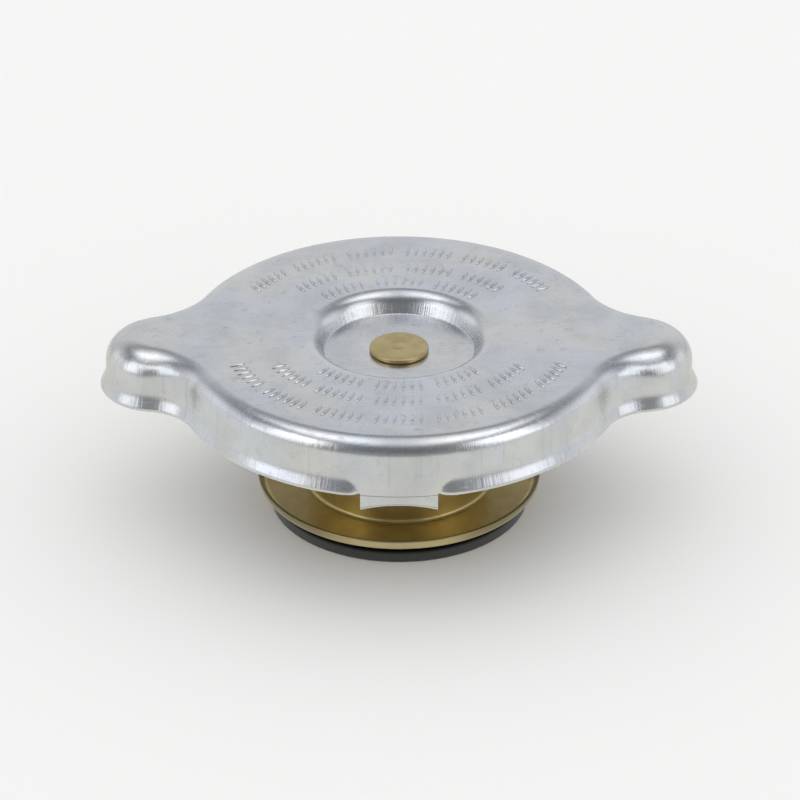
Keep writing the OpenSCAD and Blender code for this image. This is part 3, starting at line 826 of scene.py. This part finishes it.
def coil_tree(finish):
    """Round wire coil with a close turn at each end"""
    tree, given = new_tree("wire_coil", "Coil Wire Turns Low High", "Steps Sides")
    wire, turns = given["Wire"], given["Turns"]
    line = add_node(tree, "GeometryNodeMeshLine", {"Count": given["Steps"]})
    t = add_node(tree, "GeometryNodeInputIndex") / (given["Steps"] - 1) * turns
    climb, close = given["High"] - given["Low"] - wire, wire * CLOSE_PITCH
    first = close * t.maths("MINIMUM", 1.0)
    last = close * (t - turns + 1).maths("MAXIMUM", 0.0)
    open_turns = (t - 1).maths("MAXIMUM", 0.0).maths("MINIMUM", turns - 2)
    rise = first + last + open_turns * (climb - close * 2) / (turns - 2)
    turn, radius, level = t * (2 * math.pi), given["Coil"] * 0.5, given["Low"] + wire * 0.5 + rise
    path = joined(tree, radius * turn.maths("COSINE"), radius * turn.maths("SINE"), level)
    placed = add_node(tree, "GeometryNodeSetPosition", {"Geometry": line, "Position": path})
    curve = add_node(tree, "GeometryNodeMeshToCurve", {"Mesh": placed})
    upright = add_node(tree, "GeometryNodeSetCurveNormal", {"Curve": curve}, {"mode": "Z_UP"})
    rim = {"Resolution": given["Sides"], "Radius": wire * 0.5}
    ring = add_node(tree, "GeometryNodeCurvePrimitiveCircle", rim)
    swept = {"Curve": upright, "Profile Curve": ring, "Fill Caps": True}
    close_tree(tree, add_node(tree, "GeometryNodeCurveToMesh", swept), finish)
    return tree


class CAP_OT_shell(bpy.types.Operator):
    """Builds the pressed shell with its ears, recess, flare and cam tabs"""

    bl_idname = "cap.shell"
    bl_label = "Shell"

    def execute(self, context):
        form = ShellForm(context.scene.cap_shell)
        piece = new_piece("pressed_shell", form.mesh("pressed_shell"))
        piece.data.materials.append(material("bright_zinc"))
        settle(piece, "shell", ["shell"])
        return {"FINISHED"}


class CAP_OT_ticks(bpy.types.Operator):
    """Stamps rows of plain ticks on the shell's top"""

    bl_idname = "cap.ticks"
    bl_label = "Stamped ticks"

    # Radius in millimetres, and the angles of a row's ends, counted from +X
    ROWS = {
        "back_outer": (25.9, 32.4, 147.6),
        "back_middle": (20.5, 42.7, 137.3),
        "back_inner": (16.1, 46, 134),
        "front_inner": (16.1, 226, 314),
        "front_middle": (20.5, 210, 330),
        "front_outer": (25.9, 202.4, 337.6),
    }

    def execute(self, context):
        s = context.scene.cap_ticks
        tree = tick_tree(material("bright_zinc"))
        for name, (radius, start, end) in self.ROWS.items():
            step = s.pitch / (radius * MM)
            values = {
                "Radius": radius * MM,
                "Start": math.radians(start),
                "Step": step,
                "Count": int(math.radians(end - start) / step) + 1,
                "Group": s.group,
                "Level": high("shell") * MM,
                "Stroke": s.stroke,
                "Width": s.width,
                "Rise": s.rise,
            }
            settle(grown_piece("ticks_" + name, tree, values), "shell")
        return {"FINISHED"}


class CAP_OT_rivet(bpy.types.Operator):
    """Turns the rivet with its head, punched ring and clinched tail"""

    bl_idname = "cap.rivet"
    bl_label = "Rivet"

    def execute(self, context):
        top, foot, head = high("rivet"), low("rivet"), reach("rivet")
        roof = high("bell") - context.scene.cap_valves.brass_sheet / MM
        tail, shank, ring, groove, dent = 4.2, 2.8, 1.15, 0.4, 0.07
        seat, shoulder, undercut = top - 0.8, top - 0.6, 0.3
        corners = [
            (0, foot, 0), (tail, foot, 0.25), (tail, roof, 0.08), (shank, roof, 0), (shank, seat, 0),
            (head - undercut, seat, 0.05), (head, shoulder, 0.1), (head, top, 0.32),
            (ring + groove, top, 0.5), (ring, top - dent, 0.5), (ring - groove, top, 0.5), (0, top, 0),
        ]
        turned_piece("brass_rivet", corners, "rivet_brass", "carrier", "rivet", True)
        return {"FINISHED"}


class CAP_OT_upper_seal(bpy.types.Operator):
    """Turns the sprung diaphragm and the upper gasket"""

    bl_idname = "cap.upper_seal"
    bl_label = "Upper seal"

    def execute(self, context):
        t, hole, hub, inner, soft = 0.4, 2.85, 11.0, 20.4, 1.5
        rim, foot, middle = reach("diaphragm"), low("diaphragm"), high("diaphragm")
        land = high("upper_gasket") + t
        corners = [
            (hole, middle - t, 0), (hub, middle - t, soft), (inner, land - t, soft),
            (rim - t, land - t, 0.1), (rim - t, foot, 0.1), (rim, foot, 0.1), (rim, land, 0.35),
            (inner, land, soft), (hub, middle, soft), (hole, middle, 0),
        ]
        turned_piece("sprung_diaphragm", corners, "drawn_steel", "carrier", "diaphragm")
        z0, z1, bore, outer = low("upper_gasket"), high("upper_gasket"), 21.4, reach("upper_gasket")
        corners = [(bore, z0, 0.3), (outer, z0, 0.3), (outer, z1, 0.1), (bore, z1, 0.1)]
        turned_piece("neck_gasket", corners, "moulded_rubber", "carrier", "upper_gasket")
        return {"FINISHED"}


class CAP_OT_bell(bpy.types.Operator):
    """Turns the bell that houses the main spring"""

    bl_idname = "cap.bell"
    bl_label = "Bell"

    def execute(self, context):
        t = context.scene.cap_valves.brass_sheet / MM
        foot, top, lip, wall, hole = low("bell"), high("bell"), reach("bell"), 11.5, 2.85
        corners = [
            (hole, top, 0.05), (wall, top, 1.4), (wall, foot + t, 0.3), (lip, foot + t, 0.1),
            (lip, foot, 0.1), (wall - t, foot, 0.8), (wall - t, top - t, 0.9), (hole, top - t, 0.05),
        ]
        turned_piece("spring_bell", corners, "drawn_brass", "carrier", "bell")
        return {"FINISHED"}


class CAP_OT_pressure_valve(bpy.types.Operator):
    """Turns the valve's sleeve, plate, rubber seal and retainer"""

    bl_idname = "cap.pressure_valve"
    bl_label = "Pressure valve"

    def execute(self, context):
        names = "brass_sheet plate_sheet plate_curl sleeve_corner sleeve_fillet seal_edge seal_web"
        t, p, curl, corner, fillet, edge, thin = sizes(context.scene.cap_valves, names)
        hole, neck, bore, hat, port, bead = 7.95, 11.8, 12.8, 7.9, 2.4, 0.35
        margin, lift, flatter, set_back = 0.2, 0.04, 0.25, 0.7
        z0, z1, wall = low("valve_sleeve"), high("valve_sleeve"), reach("valve_sleeve")
        foot, lift, floor = wall + fillet + margin, z0 + lift, z0 + t
        sleeve = [
            (hole, z0, 0.08), (foot, z0, 0), (foot, lift, 0), (wall, lift, fillet), (wall, z1, corner),
            (neck, z1, 0.1), (neck, z1 - t, 0.1), (wall - t, z1 - t, corner - t),
            (wall - t, floor, corner - t), (hole, floor, 0.08),
        ]
        z0, z1, rim = low("valve_plate"), high("valve_plate"), reach("valve_plate")
        curl -= flatter
        plate = [
            (hole, z0, 0.08), (rim, z0, curl), (rim, z1, 0.22), (rim - p, z1, 0.22),
            (rim - p, z0 + p, curl - p), (hole, z0 + p, 0.08),
        ]
        z1, outer = high("pressure_seal"), reach("pressure_seal")
        web, inner, step = z1 - thin, outer - set_back, z1 - set_back
        seal = [
            (hole, web, 0.1), (bore, web, 0.2), (bore, 0, edge), (outer, 0, edge),
            (outer, step - 0.1, 0.35), (inner, step, 0.15), (inner, z1, 0.05), (hole, z1, 0.05),
        ]
        z0, z1, flange = low("seal_retainer"), high("seal_retainer"), reach("seal_retainer")
        retainer = [
            (hat - t, z0, 0.3), (flange, z0, 0.1), (flange, z0 + t, 0.1), (hat, z0 + t, 0),
            (hat, floor, 0), (hat + bead, floor, 0.15), (hat + bead, floor + 2 * bead, 0.3),
            (hat, floor + 2 * bead, 0), (hat, z1, 0.6), (port, z1, 0.1), (port, z1 - t, 0.1),
            (hat - t, z1 - t, 0.1),
        ]
        for name, corners, finish, node in (
            ("valve_sleeve_cup", sleeve, "drawn_brass", "valve_sleeve"),
            ("curled_plate", plate, "drawn_brass", "valve_plate"),
            ("rubber_seal", seal, "moulded_rubber", "pressure_seal"),
            ("retainer_hat", retainer, "drawn_brass", "seal_retainer"),
        ):
            turned_piece(name, corners, finish, "pressure_valve", node)
        return {"FINISHED"}


class CAP_OT_vacuum_valve(bpy.types.Operator):
    """Turns the vacuum valve's disc with its stem, its washer and its spring cap"""

    bl_idname = "cap.vacuum_valve"
    bl_label = "Vacuum valve"

    def execute(self, context):
        stem, head, thick, play = 1.2, 1.9, 0.6, 0.05
        z0, z1, disc = low("vacuum_valve"), high("vacuum_valve"), reach("vacuum_valve")
        top, bore = high("vacuum_spring_cap"), stem + play
        corners = [
            (0, z0, 0), (disc, z0, 0.15), (disc, z0 + thick, 0.15), (stem, z0 + thick, 0),
            (stem, top, 0), (head, top, 0.05), (head, z1, 0.2), (0, z1, 0),
        ]
        turned_piece("vacuum_disc", corners, "drawn_brass", "vacuum_valve", "vacuum_valve", True)
        z0, z1, outer = low("vacuum_seal"), high("vacuum_seal"), reach("vacuum_seal")
        corners = [(bore, z0, 0.05), (outer, z0, 0.1), (outer, z1, 0.2), (bore, z1, 0.05)]
        turned_piece("vacuum_washer", corners, "moulded_rubber", "vacuum_valve", "vacuum_seal")
        z0, outer = low("vacuum_spring_cap"), reach("vacuum_spring_cap")
        corners = [(bore, z0, 0.05), (outer, z0, 0.12), (outer, top, 0.12), (bore, top, 0.05)]
        turned_piece("stem_washer", corners, "drawn_brass", "vacuum_valve", "vacuum_spring_cap")
        return {"FINISHED"}


class CAP_OT_springs(bpy.types.Operator):
    """Winds the main spring and the vacuum spring"""

    bl_idname = "cap.springs"
    bl_label = "Springs"

    # Body that a coil rides on, joint of its valve, and its fixed end: 0 the lower, 1 the upper
    COILS = {"main": ("carrier", "pressure_lift", 1), "vacuum": ("pressure_valve", "vacuum_drop", 0)}
    STEPS, SIDES = 48, 16

    def execute(self, context):
        s = context.scene.cap_springs
        tree = coil_tree(material("drawn_steel"))
        limits = {j["name"]: j["range_m"] for j in frame["joints"] if "range_m" in j}
        for key, (body, joint, fixed) in self.COILS.items():
            node = key + "_spring"
            wire, turns, ends = getattr(s, key + "_wire"), getattr(s, key + "_turns"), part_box(node)
            tall = ends[1][2] - ends[0][2]
            values = {
                "Coil": 2 * ends[1][0] - wire,
                "Wire": wire,
                "Turns": turns,
                "Low": ends[0][2],
                "High": ends[1][2],
                "Steps": int(turns * self.STEPS) + 1,
                "Sides": self.SIDES,
            }
            piece = grown_piece(key + "_coil", tree, values)
            settle(piece, body, [node])
            keep = (tall - limits[joint][1]) / tall
            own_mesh(piece)
        return {"FINISHED"}


class CAP_OT_stage(bpy.types.Operator):
    """Sets the floor, the studio light and the camera"""

    bl_idname = "cap.stage"
    bl_label = "Stage"

    # Places of the light box at the right ear and of the point that it faces, in millimetres
    BOX_AT, BOX_AIM = (65.5, -62, 72), (36, -8, 24)
    # Brightness of the studio between its light boxes
    GLOOM = 0.17

    def execute(self, context):
        scene = context.scene
        s = scene.cap_stage
        half = s.floor_size / 2
        mesh = bpy.data.meshes.new("floor")
        corners = [(-half, -half, 0), (half, -half, 0), (half, half, 0), (-half, half, 0)]
        mesh.from_pydata(corners, [], [(0, 1, 2, 3)])
        mesh.materials.append(material("pale_floor"))
        floor = new_piece("floor", mesh)
        floor.visible_glossy = False
        self.light(scene, s)
        for side in (-1, 1):
            self.near_box(scene, s, side)
        self.camera(scene, s)
        scene.view_settings.view_transform = "Standard"
        return {"FINISHED"}

    def light(self, scene, s):
        """An even dome for matt faces, and a studio with light boxes that bright metal mirrors"""
        world = bpy.data.worlds.new("studio")
        scene.world = world
        world.use_nodes = True
        world.cycles.sampling_method = "NONE"
        tree = world.node_tree
        tree.nodes.clear()
        ray = add_node(tree, "ShaderNodeTexCoord", out=0)
        x, y, z = parts_of(tree, ray)
        degrees = 180 / math.pi
        rise = z.maths("ARCSINE") * degrees
        swing = abs(x.maths("ARCTAN2", 0 - y)) * degrees
        board = rise.window(-84, -2, 4)
        flank = swing.window(42, 118, 10)
        aside = swing.smooth(76, 104) * rise.window(0, 41, 7)
        low_side = swing.window(68, 125, 10) * rise.window(-2, 28, 8)
        back = swing.smooth(125, 155) * rise.window(0, 46, 5)
        over = rise.smooth(46, 79) * (0.4 + abs(x).smooth(0.02, 0.14) * 0.9)
        boxes = swing.window(43, 77, 6) * rise.window(3, 46, 4)
        crown = swing.window(60, 125, 12) * rise.window(57, 74, 5)
        front = (1 - swing.smooth(28, 50)) * rise.window(-4, 26, 7)
        level = self.GLOOM + board * (0.66 + flank * 0.05) + aside * 0.40 + back * 0.26
        level = level + front * 0.11 + low_side * 0.45 + crown * 0.9 + over + boxes * 1.3
        tint = blend_colour(tree, board, (0.98, 1.0, 1.03), (1.0, 0.998, 0.945))
        mirrored = add_node(tree, "ShaderNodeBackground", {"Color": tint, "Strength": level})
        even = add_node(tree, "ShaderNodeBackground", {"Color": (1, 1, 1, 1), "Strength": s.dome})
        glossy = add_node(tree, "ShaderNodeLightPath", out="Is Glossy Ray")
        both = add_node(tree, "ShaderNodeMixShader", {0: glossy, 1: even, 2: mirrored})
        output = tree.nodes.new("ShaderNodeOutputWorld")
        tree.links.new(both.socket, output.inputs["Surface"])

    def near_box(self, scene, s, side):
        """Small light box in front of an ear, which only bright metal mirrors"""
        data = bpy.data.lights.new("near_box", "AREA")
        data.shape = "RECTANGLE"
        data.size, data.size_y = s.box_width, s.box_height
        data.energy = s.box_glow * math.pi * s.box_width * s.box_height
        data.use_shadow = False
        box = bpy.data.objects.new("near_box", data)
        at, aim = (Vector((side * x, y, z)) * MM for x, y, z in (self.BOX_AT, self.BOX_AIM))
        box.location = at
        box.rotation_euler = (aim - at).to_track_quat("-Z", "Y").to_euler()
        box.visible_camera = box.visible_diffuse = False
        scene.collection.objects.link(box)

    def camera(self, scene, s):
        data = bpy.data.cameras.new("camera")
        data.lens = s.lens
        data.sensor_width = 36
        camera = bpy.data.objects.new("camera", data)
        out, up = s.distance * math.cos(s.elevation), s.distance * math.sin(s.elevation)
        camera.location = (s.target_x, -out, s.target_z + up)
        camera.rotation_euler = (math.pi / 2 - s.elevation, 0, 0)
        scene.collection.objects.link(camera)
        scene.camera = camera


OPERATORS = (
    CAP_OT_shell,
    CAP_OT_ticks,
    CAP_OT_rivet,
    CAP_OT_upper_seal,
    CAP_OT_bell,
    CAP_OT_pressure_valve,
    CAP_OT_vacuum_valve,
    CAP_OT_springs,
    CAP_OT_stage,
)


class CAP_PT_panel(bpy.types.Panel):
    """Lists the cap's builders and their sizes"""

    bl_idname = "CAP_PT_panel"
    bl_label = "Pressure cap"
    bl_space_type = "VIEW_3D"
    bl_region_type = "UI"
    bl_category = "Cap"

    def draw(self, context):
        for operator in OPERATORS:
            self.layout.operator(operator.bl_idname)
        for name in GROUPS:
            group = getattr(context.scene, name)
            box = self.layout.box()
            for key in group.__annotations__:
                box.prop(group, key)


CLASSES = (*GROUPS.values(), *OPERATORS, CAP_PT_panel)


def register():
    for cls in CLASSES:
        bpy.utils.register_class(cls)
    for name, group in GROUPS.items():
        setattr(bpy.types.Scene, name, PointerProperty(type=group))


def unregister():
    for name in GROUPS:
        delattr(bpy.types.Scene, name)
    for cls in reversed(CLASSES):
        bpy.utils.unregister_class(cls)


def main():
    register()
    bpy.ops.cap.shell()
    bpy.ops.cap.ticks()
    bpy.ops.cap.rivet()
    bpy.ops.cap.upper_seal()
    bpy.ops.cap.bell()
    bpy.ops.cap.pressure_valve()
    bpy.ops.cap.vacuum_valve()
    bpy.ops.cap.springs()
    bpy.ops.cap.stage()
    bpy.context.view_layer.update()


if __name__ == "__main__":
    main()
